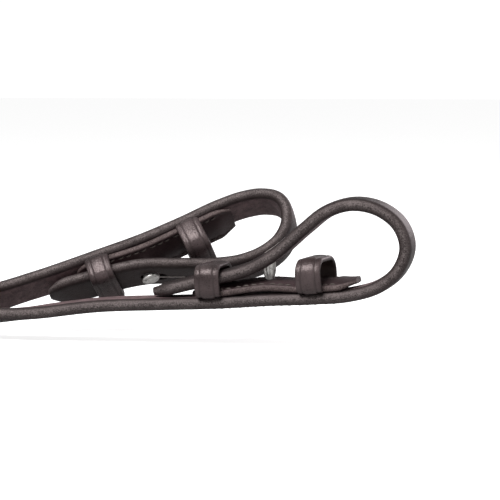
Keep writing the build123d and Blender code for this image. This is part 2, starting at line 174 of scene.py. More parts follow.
# ---- the coil --------------------------------------------------------------------
rest = [mount for mount in frame["record"]["mounts"] if mount["name"] == "coil_rest"][0]
COIL_X = rest["pos_m"][0]
ENTRY_Y = rest["pos_m"][1]
COIL_RADIUS = 4.5 * WIDTH
PITCH = 0.35 * WIDTH
INNER_RADIUS = 2.5 * WIDTH
BEND_RADIUS = 13 * MM
BEND_STEPS = 22
# The way the outermost turns leave the coil.
COIL_WAY = (1, -0.02, 0)
CENTRE = Vector((COIL_X, ENTRY_Y + COIL_RADIUS, 0))
HAND_HEIGHT = 9.5 * MM
HAND_WIDTH = 12 * MM
HAND_THICK = 3.4 * MM
REACH = INNER_RADIUS - BEND_RADIUS
SWEEP = 180 - math.degrees(math.acos(BEND_RADIUS / REACH))
STRAIGHT = math.sqrt(REACH ** 2 - BEND_RADIUS ** 2)


def turn_vector(degrees):
    return Vector((math.cos(math.radians(degrees)), math.sin(math.radians(degrees)), 0))


def coil_stations(start_radius):
    """From the hand end of the wound length out to its outer end."""
    turns = (start_radius - INNER_RADIUS) / (2 * PITCH)
    length = math.pi * (start_radius ** 2 - INNER_RADIUS ** 2) / (2 * PITCH)
    count = round(length / COIL_STEP)
    made = []
    for k in range(count + 1):
        place = turns * (1 - k / count)
        radius = start_radius - 2 * PITCH * place
        made.append((CENTRE + turn_vector(-90 - 360 * place) * radius + UP * WIDTH / 2, -UP))
    return made, turns


def bend_stations(turns, end_thick):
    """The tight bend in the core, from the straight out to the inmost turn."""
    start = -90 - 360 * turns
    middle = CENTRE + turn_vector(start) * REACH
    made, shapes = [], []
    for k in range(BEND_STEPS):
        part = 1 - k / BEND_STEPS
        taper = ease(part)
        height = WIDTH / 2 + (HAND_HEIGHT - WIDTH / 2) * taper
        made.append((middle + turn_vector(start - SWEEP * part) * BEND_RADIUS + UP * height, -UP))
        shapes.append((WIDTH + (HAND_WIDTH - WIDTH) * taper, THICK + (end_thick - THICK) * taper))
    return made, shapes


def lead_stations(points, end_way, end_roll, twist_from, twist_to):
    """The twisting lead, from the coil up to the flex point."""
    path = smooth_path(points, COIL_WAY, end_way, LEAD_STEP)
    made = []
    for k, centre in enumerate(path):
        one = path[max(0, k - 1)]
        two = path[min(len(path) - 1, k + 1)]
        along = (two - one).normalized()
        level = UP.cross(along).normalized()
        upper = along.cross(level)
        turned = ease((twist_from - centre.x) / (twist_from - twist_to))
        roll = math.radians(end_roll + (90 - end_roll) * turned)
        made.append((centre, level * math.cos(roll) - upper * math.sin(roll)))
    return made


# ---- meshes ----------------------------------------------------------------------
def finish_mesh(name, bm):
    bmesh.ops.recalc_face_normals(bm, faces=bm.faces)
    data = bpy.data.meshes.new(name)
    bm.to_mesh(data)
    bm.free()
    made = bpy.data.objects.new(name, data)
    bpy.context.scene.collection.objects.link(made)
    return made


def profile(width, thick, crown=0.2 * MM, bevel=BEVEL, steps=10):
    """The strap's section: (across, out, cut edge and its painted highlight, flesh side, grain side)."""
    half, deep = width / 2, thick / 2
    bevel = min(bevel, deep * 0.96, half * 0.96)
    upper = []
    lower = []
    for k in range(steps + 1):
        x = -1 + 2 * k / steps
        upper.append((x * (half - bevel), deep + crown * (1 - x * x), 0, 0, 1))
        lower.append((-x * (half - bevel), -deep - 0.3 * crown * (1 - x * x), 0, 1, 0))
    edge_down = []
    half_way = BEVEL_STEPS // 2
    for k in range(1, BEVEL_STEPS):
        turn = math.radians(90 - 180 * k / BEVEL_STEPS)
        across = half - bevel + bevel * math.cos(turn)
        out = math.copysign(deep - bevel, half_way - k) + bevel * math.sin(turn)
        if k == half_way:
            across, out = half + EDGE_SWELL, 0
        # The edge weight peaks on the edge's middle line and fades towards both faces, so the lighter edge tone
        # lies there as a painted highlight along the rounded edge, on top of the edge's own speckled colour.
        edge_down.append((across, out, (1 - abs(k - half_way) / half_way) ** 2.2, 0, 0))
    edge_up = [(-across, -out, cut_and_painted_light, 0, 0) for across, out, cut_and_painted_light, _, _ in edge_down]
    return upper + edge_down + lower + edge_up


def sweep(name, stations, shapes, grain, closed=False, start_length=0.0, section=profile):
    """A strap swept through its stations; grain is +1 or -1 for the side that is out."""
    bm = bmesh.new()
    cut_and_painted_light = bm.verts.layers.float.new("cut_and_painted_light")
    flesh = bm.verts.layers.float.new("flesh")
    uv = bm.loops.layers.uv.new("strap")
    rings, lengths, total = [], [], start_length
    count = len(stations)
    rounds = []
    for k, (centre, across) in enumerate(stations):
        if k:
            total += (centre - stations[k - 1][0]).length
        before = stations[k - 1 if k or closed else 0][0]
        after = stations[(k + 1) % count if closed else min(count - 1, k + 1)][0]
        along = (after - before).normalized()
        across = (across - along * across.dot(along)).normalized()
        out = across.cross(along) * grain
        shape = shapes[k] if isinstance(shapes, list) else shapes
        ring, path_round, last = [], [], None
        walked = 0.0
        for a, g, cut_and_painted_light_weight, is_flesh, _ in section(*shape):
            vert = bm.verts.new(centre + across * a + out * g)
            vert[cut_and_painted_light] = cut_and_painted_light_weight
            vert[flesh] = is_flesh
            if last is not None:
                walked += math.hypot(a - last[0], g - last[1])
            last = (a, g)
            ring.append(vert)
            path_round.append(walked)
        rings.append(ring)
        rounds.append(path_round)
        lengths.append(total)
    pairs = list(zip(range(count - 1), range(1, count)))
    if closed:
        pairs.append((count - 1, 0))
    size = len(rings[0])
    for one, two in pairs:
        for j in range(size):
            n = (j + 1) % size
            face = bm.faces.new((rings[one][j], rings[one][n], rings[two][n], rings[two][j]))
            face.smooth = True
            far = lengths[two] if two > one else lengths[one] + 0.001
            v0 = rounds[one][j]
            v1 = rounds[one][n] if n else rounds[one][j] + 0.0005
            around = ((lengths[one], v0), (lengths[one], v1), (far, v1), (far, v0))
            for loop, value in zip(face.loops, around):
                loop[uv].uv = value
    if not closed:
        for ring, turn in ((rings[0], 1), (rings[-1], -1)):
            face = bm.faces.new(ring[::turn])
            face.smooth = False
            for edge in face.edges:
                edge.smooth = False
            for loop in face.loops:
                loop[uv].uv = (loop.vert.co.x, loop.vert.co.y + loop.vert.co.z)
    made = finish_mesh(name, bm)
    return made, total


# ---- materials --------------------------------------------------------------------
def shader(name):
    made = bpy.data.materials.new(name)
    made.use_nodes = True
    nodes, links = made.node_tree.nodes, made.node_tree.links
    return made, nodes, links, nodes["Principled BSDF"]


def ramp(nodes, links, source, low, high, low_at, high_at):
    made = nodes.new("ShaderNodeValToRGB")
    made.color_ramp.elements[0].position = low_at
    made.color_ramp.elements[1].position = high_at
    made.color_ramp.elements[0].color = (*low, 1)
    made.color_ramp.elements[1].color = (*high, 1)
    links.new(source, made.inputs[0])
    return made.outputs[0]


def noise(nodes, links, where, scale, detail=4.0, rough=0.55):
    made = nodes.new("ShaderNodeTexNoise")
    made.inputs["Scale"].default_value = scale
    made.inputs["Detail"].default_value = detail
    made.inputs["Roughness"].default_value = rough
    links.new(where, made.inputs["Vector"])
    return made.outputs["Fac"]


def mixed(nodes, links, factor, one, two):
    made = nodes.new("ShaderNodeMix")
    made.data_type = "RGBA"
    links.new(factor, made.inputs["Factor"])
    for value, socket in ((one, made.inputs["A"]), (two, made.inputs["B"])):
        if isinstance(value, tuple):
            socket.default_value = (*value, 1)
        else:
            links.new(value, socket)
    return made.outputs["Result"]


def maths(nodes, links, kind, one, two):
    made = nodes.new("ShaderNodeMath")
    made.operation = kind
    for value, socket in ((one, made.inputs[0]), (two, made.inputs[1])):
        if isinstance(value, (int, float)):
            socket.default_value = value
        else:
            links.new(value, socket)
    return made.outputs[0]


def leather(name, grain_tones, edge_and_painted_light_tones, flesh_tones, roughness=0.40):
    """Waxed bridle leather: grain face, brown flesh face and speckled cut edges, whose edge tone is partly painted
    light laid by the cut weight.
    """
    dark, light = grain_tones
    edge_dark, edge_light = edge_and_painted_light_tones
    flesh_dark, flesh_light = flesh_tones
    made, nodes, links, out = shader(name)

    def times(one, two):
        return maths(nodes, links, "MULTIPLY", one, two)

    def plus(one, two):
        return maths(nodes, links, "ADD", one, two)

    where = nodes.new("ShaderNodeTexCoord").outputs["Object"]
    cloud = noise(nodes, links, where, 90, 5)
    fine = noise(nodes, links, where, 1500, 6, 0.7)
    speck = noise(nodes, links, where, 2300, 6, 0.7)
    smear = noise(nodes, links, where, 260, 4)
    pores = nodes.new("ShaderNodeTexVoronoi")
    pores.inputs["Scale"].default_value = 1900
    links.new(where, pores.inputs["Vector"])
    cut_and_painted_light = nodes.new("ShaderNodeAttribute")
    cut_and_painted_light.attribute_name = "cut_and_painted_light"
    flesh = nodes.new("ShaderNodeAttribute")
    flesh.attribute_name = "flesh"
    grain = ramp(nodes, links, cloud, dark, light, 0.35, 0.7)
    flecks = ramp(nodes, links, fine, (0, 0, 0), (0.5, 0.5, 0.5), 0.45, 0.8)
    grain = mixed(nodes, links, flecks, grain, light)
    fibres = plus(times(fine, 0.5), times(smear, 0.5))
    under = ramp(nodes, links, fibres, flesh_dark, flesh_light, 0.38, 0.66)
    layers = plus(times(speck, 0.8), times(smear, 0.2))
    edge = ramp(nodes, links, layers, edge_dark, edge_light, 0.43, 0.60)
    tone = mixed(nodes, links, flesh.outputs["Fac"], grain, under)
    # The edge tone goes where the cut weight is high: partly the edges' own speckled colour, partly painted light
    # (a highlight along strap and lay edges, shade in keeper creases).
    tone = mixed(nodes, links, cut_and_painted_light.outputs["Fac"], tone, edge)
    links.new(tone, out.inputs["Base Color"])
    rough = plus(times(fine, 0.25), roughness - 0.1)
    rough = plus(rough, times(cut_and_painted_light.outputs["Fac"], 0.16))
    rough = plus(rough, times(flesh.outputs["Fac"], 0.2))
    links.new(rough, out.inputs["Roughness"])
    out.inputs["Specular IOR Level"].default_value = 0.5
    out.inputs["Specular Tint"].default_value = (1.0, 0.84, 0.83, 1)
    bumps = plus(times(pores.outputs["Distance"], 0.35), fine)
    bumps = plus(bumps, times(smear, 0.8))
    bumps = plus(bumps, times(times(speck, cut_and_painted_light.outputs["Fac"]), 1.6))
    bump = nodes.new("ShaderNodeBump")
    bump.inputs["Strength"].default_value = 0.55
    bump.inputs["Distance"].default_value = 0.00025
    links.new(bumps, bump.inputs["Height"])
    links.new(bump.outputs["Normal"], out.inputs["Normal"])
    return made


def metal(name, dark, light, roughness, metallic):
    """Cast and polished metal, a little clouded by handling."""
    made, nodes, links, out = shader(name)
    where = nodes.new("ShaderNodeTexCoord").outputs["Object"]
    cloud = noise(nodes, links, where, 420, 5)
    scratch = noise(nodes, links, where, 3200, 5)
    links.new(ramp(nodes, links, cloud, dark, light, 0.35, 0.65), out.inputs["Base Color"])
    out.inputs["Metallic"].default_value = metallic
    links.new(maths(nodes, links, "ADD", maths(nodes, links, "MULTIPLY", cloud, 0.3), roughness - 0.12),
              out.inputs["Roughness"])
    bump = nodes.new("ShaderNodeBump")
    bump.inputs["Strength"].default_value = 0.25
    bump.inputs["Distance"].default_value = 0.0001
    links.new(scratch, bump.inputs["Height"])
    links.new(bump.outputs["Normal"], out.inputs["Normal"])
    return made


def thread_finish(name, dark, light):
    """Waxed linen thread, with its twist as light and dark bands."""
    made, nodes, links, out = shader(name)
    where = nodes.new("ShaderNodeTexCoord").outputs["Object"]
    twist = nodes.new("ShaderNodeTexWave")
    twist.inputs["Scale"].default_value = 900
    twist.inputs["Distortion"].default_value = 3
    links.new(where, twist.inputs["Vector"])
    links.new(ramp(nodes, links, twist.outputs["Fac"], dark, light, 0.2, 0.8), out.inputs["Base Color"])
    out.inputs["Roughness"].default_value = 0.7
    bump = nodes.new("ShaderNodeBump")
    bump.inputs["Strength"].default_value = 0.5
    bump.inputs["Distance"].default_value = 0.0001
    links.new(twist.outputs["Fac"], bump.inputs["Height"])
    links.new(bump.outputs["Normal"], out.inputs["Normal"])
    return made


# Each pair of tones is the darkest and the lightest: grain face, cut edge, flesh face. The cut-edge pair also
# carries painted light: a painted highlight along the middle of the strap and lay edges, and painted shade in the
# keeper creases.
STRAP_LEATHER = leather(
    "strap_leather",
    ((0.007, 0.0045, 0.0045), (0.020, 0.013, 0.013)),
    ((0.012, 0.009, 0.009), (0.16, 0.135, 0.132)),
    ((0.060, 0.038, 0.040), (0.21, 0.145, 0.15)))
LAY_LEATHER = leather(
    "lay_leather",
    ((0.018, 0.010, 0.011), (0.040, 0.024, 0.026)),
    ((0.020, 0.013, 0.012), (0.15, 0.115, 0.11)),
    ((0.012, 0.006, 0.005), (0.04, 0.026, 0.022)), 0.48)
KEEPER_LEATHER = leather(
    "keeper_leather",
    ((0.022, 0.0155, 0.0155), (0.080, 0.060, 0.061)),
    ((0.010, 0.007, 0.007), (0.035, 0.026, 0.026)),
    ((0.018, 0.011, 0.010), (0.05, 0.034, 0.030)), 0.27)
# Pale raw leather for the slit lips: its own pale tone, lightened further as painted light so that the lips stay
# pale on a face that lies in shade.
RAW_AND_PAINTED_LIGHT_TONES = ((0.25, 0.22, 0.21), (0.60, 0.56, 0.54))
RAW_LEATHER_WITH_PAINTED_LIGHT = leather("raw_leather_with_painted_light", RAW_AND_PAINTED_LIGHT_TONES, RAW_AND_PAINTED_LIGHT_TONES, RAW_AND_PAINTED_LIGHT_TONES, 0.6)
STUD_METAL = metal("stud_metal", (0.55, 0.53, 0.51), (0.90, 0.88, 0.85), 0.28, 0.65)
BUCKLE_METAL = metal("buckle_metal", (0.5, 0.49, 0.47), (0.78, 0.77, 0.74), 0.28, 0.9)
THREAD = thread_finish("thread", (0.02, 0.015, 0.013), (0.12, 0.095, 0.085))


def dress(obj, material):
    obj.data.materials.clear()
    obj.data.materials.append(material)
    return obj


# ---- straps ------------------------------------------------------------------------
def point_width(distance, length, full, blunt=0.12):
    """The width of a pointed strap end, by the distance from its point."""
    part = min(1.0, max(0.0, distance / length))
    return full * (blunt + (1 - blunt) * math.sin(part * math.pi / 2) ** 0.75)


BILLET_POINT = 10 * MM
BILLET_BLUNT = 0.3
SKIVE = 0.6
SKIVE_LENGTH = 6 * MM


def split_rein(name, before, before_shapes, run, back, grain, joins):
    """Sweeps a whole rein as three pieces that meet edge to edge.

    The joins are counted in steps, along the run and along the folded-back end.
    """
    run_cut, back_cut = joins
    full = (WIDTH, THICK)
    first = before + run[1:run_cut + 1]
    shapes = before_shapes + [full] * run_cut
    strap, length = sweep(name + "_long_strap", first, shapes, grain)
    second = run[run_cut:] + back[1:back_cut + 1]
    loop, length = sweep(name + "_bit_loop", second, full, grain, start_length=length)
    third = back[back_cut:]
    tip_shapes = []
    for k in range(len(third)):
        distance = (len(third) - 1 - k) * RUN_STEP
        skive = SKIVE + (1 - SKIVE) * ease(distance / SKIVE_LENGTH)
        tip_shapes.append((point_width(distance, BILLET_POINT, WIDTH, BILLET_BLUNT), THICK * skive))
    billet, length = sweep(name + "_billet_end", third, tip_shapes, grain, start_length=length)
    for piece, node in ((strap, "strap"), (loop, "bit_end_strap"), (billet, "billet")):
        dress(piece, STRAP_LEATHER)
        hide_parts(name + "_" + node)
    return strap, loop, billet


# Headings of each path at the flex line, at the loop's crown and at the tip.
FRONT_SLOPE, FRONT_CROWN, FRONT_TIP = 5, 94, 190
REAR_SLOPE, REAR_CROWN, REAR_TIP = 21, -73, 199
front_run = flat_stations(FRONT_RUN, FRONT_SLOPE, FRONT_CROWN, front_point, Vector((0, 1, 0)))
front_back = flat_stations(FRONT_BACK, FRONT_CROWN, FRONT_TIP, front_point, Vector((0, 1, 0)))
rear_run = flat_stations(REAR_RUN, REAR_SLOPE, REAR_CROWN, rear_point, REAR_ACROSS)
rear_back = flat_stations(REAR_BACK, REAR_CROWN, REAR_TIP, rear_point, REAR_ACROSS)

front_coil, front_turns = coil_stations(COIL_RADIUS)
rear_coil, rear_turns = coil_stations(COIL_RADIUS - PITCH)
front_bend, front_bend_shapes = bend_stations(front_turns, THICK)
rear_bend, rear_bend_shapes = bend_stations(rear_turns, HAND_THICK)
hand_angle = math.radians(-90 - 360 * front_turns - SWEEP)
HAND_LINE = Vector((math.sin(hand_angle), -math.cos(hand_angle), 0))
HAND_OUT = UP.cross(HAND_LINE)


def hand_point(along, out):
    """A point in the buckle's frame, whose origin is the middle of the coil."""
    return CENTRE + UP * HAND_HEIGHT + HAND_LINE * along + HAND_OUT * out


def lead_point(x, y, z):
    """A point given in millimetres from where the leads come clear of the coil."""
    return LEAD_START + Vector((x, y, z)) * MM


slope = heading(FRONT_SLOPE)
front_way = Vector((slope.x, 0, slope.y))
front_lead = lead_stations(
    [front_coil[-1][0], lead_point(-88, 12.6, 8.2), lead_point(-50, 10.6, 8.9),
     lead_point(0, 8.1, 9.6), FRONT_FLEX],
    front_way, 0.0, LEAD_START.x + 20 * MM, LEAD_START.x - 88 * MM)
slope = heading(REAR_SLOPE)
rear_way = Vector((slope.x, 0, 0)) + REAR_OUT * slope.y
rear_level = UP.cross(rear_way).normalized()
rear_roll = math.degrees(math.acos(REAR_ACROSS.dot(rear_level)))
rear_lead = lead_stations(
    [rear_coil[-1][0], lead_point(-76, 18.5, 8.2), lead_point(-44, 19.4, 9.2),
     lead_point(-18, 23.2, 12.6), REAR_FLEX],
    rear_way, rear_roll, LEAD_START.x, LEAD_START.x - 72 * MM)

full_shape = [(WIDTH, THICK)]
front_start = [(hand_point(-STRAIGHT + 1.5 * MM, 0), -UP)]
front_before = front_start + front_bend + front_coil + front_lead[1:]
front_shapes = [(HAND_WIDTH, THICK)] + front_bend_shapes
front_shapes += full_shape * (len(front_coil) + len(front_lead) - 1)
# The holed hand end: it rises off the chape, passes the buckle and lies flat again.
HOLED = [(-24.5, 4.6), (-18, 4.6), (-11, 5.0), (-3.5, 6.2), (5, 2.0), (13, -0.1), (STRAIGHT / MM - 0.8, 0)]
HOLED_POINT = 7 * MM
holed_path = smooth_path(HOLED, (1, 0), (1, 0), 1.0)
rear_straight = [(hand_point(p.x * MM, p.y * MM), -UP) for p in holed_path]
holed_shapes = []
for k in range(len(rear_straight)):
    holed_shapes.append((point_width(k * MM, HOLED_POINT, HAND_WIDTH), HAND_THICK))
rear_before = rear_straight + rear_bend + rear_coil + rear_lead[1:]
rear_shapes = holed_shapes + rear_bend_shapes
rear_shapes += full_shape * (len(rear_coil) + len(rear_lead) - 1)

front_strap, front_loop, front_billet = split_rein(
    "front", front_before, front_shapes, front_run, front_back, 1, (88, 34))
rear_strap, rear_loop, rear_billet = split_rein(
    "rear", rear_before, rear_shapes, rear_run, rear_back, -1, (84, 30))


# ---- lays ---------------------------------------------------------------------------
# Places along a bit end are counted in steps of its run, which are about a millimetre long.
FRONT_PLACES = {"lay": (36, 101), "billet keeper": 44, "stud": 66, "stud keeper": 84}
REAR_PLACES = {"lay": (18, 84), "billet keeper": 28, "stud": 45, "stud keeper": 66}


def inward(stations, k, grain):
    """The strap's direction at one station, and the one towards the folded-back end."""
    one, two = stations[max(0, k - 1)][0], stations[min(len(stations) - 1, k + 1)][0]
    along = (two - one).normalized()
    return along, -(stations[k][1].cross(along) * grain).normalized()


LAY_TILT = 2.0 * MM
LAY_DOME = 0.8 * MM
LAY_POINT = 7 * MM
LAY_SKIVE_LENGTH = 8 * MM
LAY_BEVEL = 0.7 * MM
GROOVE_DEPTH = 0.45 * MM
# Places across the lay, as parts of its half width.
DOME_EDGE = 0.62
STITCH_LINE = 0.74
FRONT_BULGE = 1.1 * MM
REAR_BULGE = 0.5 * MM


def lay_lift(k, first, last, bulge):
    """How far the lay stands off the strap between its keepers and at its far end."""
    part = (k - first) / (last - first)
    between = math.sin(math.pi * min(1, max(0, (part - 0.16) / 0.54))) ** 2
    tail = ease((part - 0.86) / 0.14)
    return bulge * (between + 1.3 * tail)


def lay(name, run, grain, lay_ends, bulge, node):
    """The narrow strap sewn along the run's inner side, pointed at both ends."""
    first, last = lay_ends
    stations, shapes = [], []
    for k in range(first, last + 1):
        along, inner = inward(run, k, grain)
        distance = min(k - first, last - k) * RUN_STEP
        thick = LAY_THICK * (SKIVE + (1 - SKIVE) * ease(distance / LAY_SKIVE_LENGTH))
        lift = lay_lift(k, first, last, bulge)
        stations.append((run[k][0] + inner * (THICK / 2 + thick / 2 + lift), run[k][1]))
        blunt = 0.4 if k - first < last - k else 0.72
        shapes.append((point_width(distance, LAY_POINT, WIDTH - 0.6 * MM, blunt), thick))

    def domed(width, thick):
        """The lay's top: domed, higher at its far side, with two sunk stitch lines."""
        points = []
        for a, g, c, f, s in profile(width, thick, crown=0.1 * MM, bevel=LAY_BEVEL, steps=16):
            x = abs(a) / (WIDTH / 2)
            full = (thick / LAY_THICK) ** 2
            if g < 0:
                g = g - LAY_TILT * (0.5 + a / WIDTH) * full
            if f:
                rise = LAY_DOME * max(0.0, 1 - (x / DOME_EDGE) ** 2)
                groove = GROOVE_DEPTH * math.exp(-((x - STITCH_LINE) / 0.07) ** 2)
                g = g + (groove - rise) * full
                f = 0
            points.append((a, g, c, f, s))
        return points

    made, _ = sweep(name, stations, shapes, grain, section=domed)
    dress(made, LAY_LEATHER)
    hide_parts(node)
    return made


front_lay = lay("front_lay_leather", front_run, 1, FRONT_PLACES["lay"], FRONT_BULGE, "front_lay")
rear_lay = lay("rear_lay_leather", rear_run, -1, REAR_PLACES["lay"], REAR_BULGE, "rear_lay")


# ---- stitching ------------------------------------------------------------------------
STITCH_LENGTH = 2.5 * MM
STITCH_RADIUS = 0.42 * MM
STITCH_PITCH = 3.3
THREAD_SIDES = 8
THREAD_RINGS = 7


def add_stitch(bm, centre, along, across, out, length, radius):
    """One slack-sided stitch: a bowed thread that dips into the leather at both ends."""
    rings = []
    for k in range(THREAD_RINGS):
        u = -1 + 2 * k / (THREAD_RINGS - 1)
        middle = centre + along * u * length / 2 + out * (radius * 0.7 * (1 - u * u) - 0.1 * MM)
        size = radius * (1 - 0.55 * u ** 4)
        ring = []
        for j in range(THREAD_SIDES):
            a = 2 * math.pi * j / THREAD_SIDES
            sideways = across * size * math.cos(a)
            ring.append(bm.verts.new(middle + sideways + out * size * 0.8 * math.sin(a)))
        rings.append(ring)
    for one, two in zip(rings, rings[1:]):
        for j in range(THREAD_SIDES):
            n = (j + 1) % THREAD_SIDES
            bm.faces.new((one[j], one[n], two[n], two[j])).smooth = True
    bm.faces.new(rings[0][::-1])
    bm.faces.new(rings[-1])


def stitching(name, run, grain, lay_ends, bulge, node):
    """Two rows of stitches through the lay and the strap, seen on both faces."""
    bm = bmesh.new()
    first, last = lay_ends[0] + 7, lay_ends[1] - 6
    count = int((last - first) / STITCH_PITCH)
    line = STITCH_LINE / 2
    for side in (-1, 1):
        for face in (1, -1):
            for number in range(count):
                k = round(first + STITCH_PITCH * (number + 0.5))
                along, inner = inward(run, k, grain)
                far = run[k][1]
                depth = THICK / 2 - 0.45 * MM
                if face > 0:
                    depth = THICK / 2 + LAY_THICK + LAY_TILT * (0.5 + line * side) - 0.2 * MM
                    depth += lay_lift(k, *lay_ends, bulge)
                centre = run[k][0] + inner * face * depth + far * side * WIDTH * line
                stray = Vector((0, 0, random.uniform(-0.02, 0.02)))
                slant = (along + far * 0.16 * side + stray).normalized()
                add_stitch(bm, centre, slant, far, inner * face, STITCH_LENGTH, STITCH_RADIUS)
    made = finish_mesh(name, bm)
    dress(made, THREAD)
    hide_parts(node)
    return made


front_stitches = stitching(
    "front_lay_thread", front_run, 1, FRONT_PLACES["lay"], FRONT_BULGE, "front_lay_stitching")
rear_stitches = stitching(
    "rear_lay_thread", rear_run, -1, REAR_PLACES["lay"], REAR_BULGE, "rear_lay_stitching")


# ---- keepers ------------------------------------------------------------------------
KEEPER_STRIP = 9.5 * MM
KEEPER_WALL = 1.7 * MM
KEEPER_SLACK = 1.0 * MM
KEEPER_BOW = 0.7 * MM
KEEPER_CORNER = 1.4 * MM
# The creased lines: their place as a part of the half width, and their depth.
CREASE_PLACE = 0.58
CREASE_DEPTH = 0.42 * MM


def keeper_section(width, thick):
    """A keeper's strip: two creased lines near its edges, darkened with painted shade, and a soft crown."""
    points = []
    for a, g, c, f, s in profile(width, thick, crown=0.6 * MM, bevel=0.6 * MM, steps=26):
        crease = math.exp(-((abs(a) / (width / 2) - CREASE_PLACE) / 0.055) ** 2)
        if s:
            g = g - CREASE_DEPTH * crease
            # The creases take the keeper's darker edge tone through the cut weight: painted shade along the crease
            # lines.
            c = 0.9 * crease
        points.append((a, g, c * 0.7, f, s))
    return points


def keeper(name, origin, along, across, inner, width, low, high, strip, wall, round_top, node, skew=0.0):
    """A closed band round the strap: the loop is drawn in (across, inner)."""
    half = width / 2 + wall / 2
    low = low - wall / 2
    high = high + wall / 2
    corner_low, corner_high = KEEPER_CORNER, round_top
    loop = []
    for centre_a, centre_g, radius, start in (
            (half - corner_low, low + corner_low, corner_low, -90),
            (half - corner_high, high - corner_high, corner_high, 0),
            (-half + corner_high, high - corner_high, corner_high, 90),
            (-half + corner_low, low + corner_low, corner_low, 180)):
        for k in range(9):
            a = math.radians(start + 90 * k / 8)
            loop.append((centre_a + radius * math.cos(a), centre_g + radius * math.sin(a)))
    dense = []
    for k, (a, g) in enumerate(loop):
        na, ng = loop[(k + 1) % len(loop)]
        gap = math.hypot(na - a, ng - g)
        parts = max(1, round(gap / (1.2 * MM)))
        for j in range(parts):
            dense.append((a + (na - a) * j / parts, g + (ng - g) * j / parts))
    middle_g, tall = (low + high) / 2, (high - low) / 2
    bowed = []
    for a, g in dense:
        bowed.append((a * (1 + KEEPER_BOW / half * (1 - ((g - middle_g) / tall) ** 2)), g))
    stations = [(origin + (across + along * skew) * a + inner * g, along) for a, g in bowed]
    middle = origin + inner * (low + high) / 2
    way = (stations[1][0] - stations[0][0]).normalized()
    out = along.cross(way)
    grain = 1 if out.dot(stations[0][0] - middle) > 0 else -1
    made, _ = sweep(name, stations, (strip, wall), grain, closed=True, section=keeper_section)
    dress(made, KEEPER_LEATHER)
    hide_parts(node)
    return made


def run_keeper(name, run, grain, at, high, node, round_top, skew):
    """A keeper round the run and its lay, with room for the billet up to high."""
    along, inner = inward(run, at, grain)
    origin = run[at][0] + inner * THICK / 2
    return keeper(name, origin, along, run[at][1], inner, WIDTH + KEEPER_SLACK, KEEPER_WALL, high,
                  KEEPER_STRIP, KEEPER_WALL, round_top, node, skew)


front_keepers = [
    run_keeper("front_billet_loop", front_run, 1, FRONT_PLACES["billet keeper"], 10.5 * MM,
               "front_billet_keeper", 3.4 * MM, 0.05),
    run_keeper("front_stud_loop", front_run, 1, FRONT_PLACES["stud keeper"], 10.9 * MM,
               "front_stud_keeper", 4.6 * MM, 0.14)]
rear_keepers = [
    run_keeper("rear_billet_loop", rear_run, -1, REAR_PLACES["billet keeper"], 9.8 * MM,
               "rear_billet_keeper", 2.6 * MM, 0.03),
    run_keeper("rear_stud_loop", rear_run, -1, REAR_PLACES["stud keeper"], 12.6 * MM,
               "rear_stud_keeper", 4.0 * MM, 0.03)]


# ---- hook studs ------------------------------------------------------------------------
# The stud's outline: radius and height above the strap, in millimetres.
STUD_OUTLINE = [
    (0, 2.3), (4.1, 2.3), (4.2, 2.9), (3.4, 3.4), (2.2, 3.9), (1.6, 4.6), (1.6, 5.2),
    (1.9, 6.2), (2.25, 7.4), (2.45, 8.8), (2.45, 10.4), (2.6, 11.6), (3.2, 12.1),
    (3.55, 12.5), (3.6, 13.0), (3.3, 13.45), (2.2, 13.7), (0, 13.8)]
STUD_SIDES = 40
FLUTES = 8
FLUTE_LOW, FLUTE_HIGH = 4.4, 11
FLUTE_DEPTH = 0.10
HEAD_LOW = 11.8
HEAD_NARROWING = 0.80


def stud(name, run, grain, at, node):
    """Turned base and fluted neck under an oval, slightly domed head."""
    along, inner = inward(run, at, grain)
    across = run[at][1]
    origin = run[at][0] + inner * (THICK / 2)
    bm = bmesh.new()
    rings = []
    for radius, height in STUD_OUTLINE[1:-1]:
        fluted = FLUTE_LOW < height < FLUTE_HIGH
        narrow = HEAD_NARROWING if height > HEAD_LOW else 1.0
        ring = []
        for j in range(STUD_SIDES):
            a = 2 * math.pi * j / STUD_SIDES
            reach = radius * (1 + FLUTE_DEPTH * math.cos(FLUTES * a) * fluted)
            flat = along * math.cos(a) * reach + across * math.sin(a) * reach * narrow
            ring.append(bm.verts.new(origin + flat * MM + inner * height * MM))
        rings.append(ring)
    for one, two in zip(rings, rings[1:]):
        for j in range(STUD_SIDES):
            n = (j + 1) % STUD_SIDES
            bm.faces.new((one[j], one[n], two[n], two[j])).smooth = True
    bm.faces.new(rings[0][::-1])
    top = bm.verts.new(origin + inner * STUD_OUTLINE[-1][1] * MM)
    for j in range(STUD_SIDES):
        bm.faces.new((rings[-1][j], rings[-1][(j + 1) % STUD_SIDES], top)).smooth = True
    made = finish_mesh(name, bm)
    dress(made, STUD_METAL)
    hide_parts(node)
    return made


front_stud = stud("front_stud_metal", front_run, 1, FRONT_PLACES["stud"], "front_hook_stud")
rear_stud = stud("rear_stud_metal", rear_run, -1, REAR_PLACES["stud"], "rear_hook_stud")


# ---- billet slots -------------------------------------------------------------------------
SLOT_LOW, SLOT_HIGH = 4 * MM, 26 * MM
SLOT_SIDES = 40


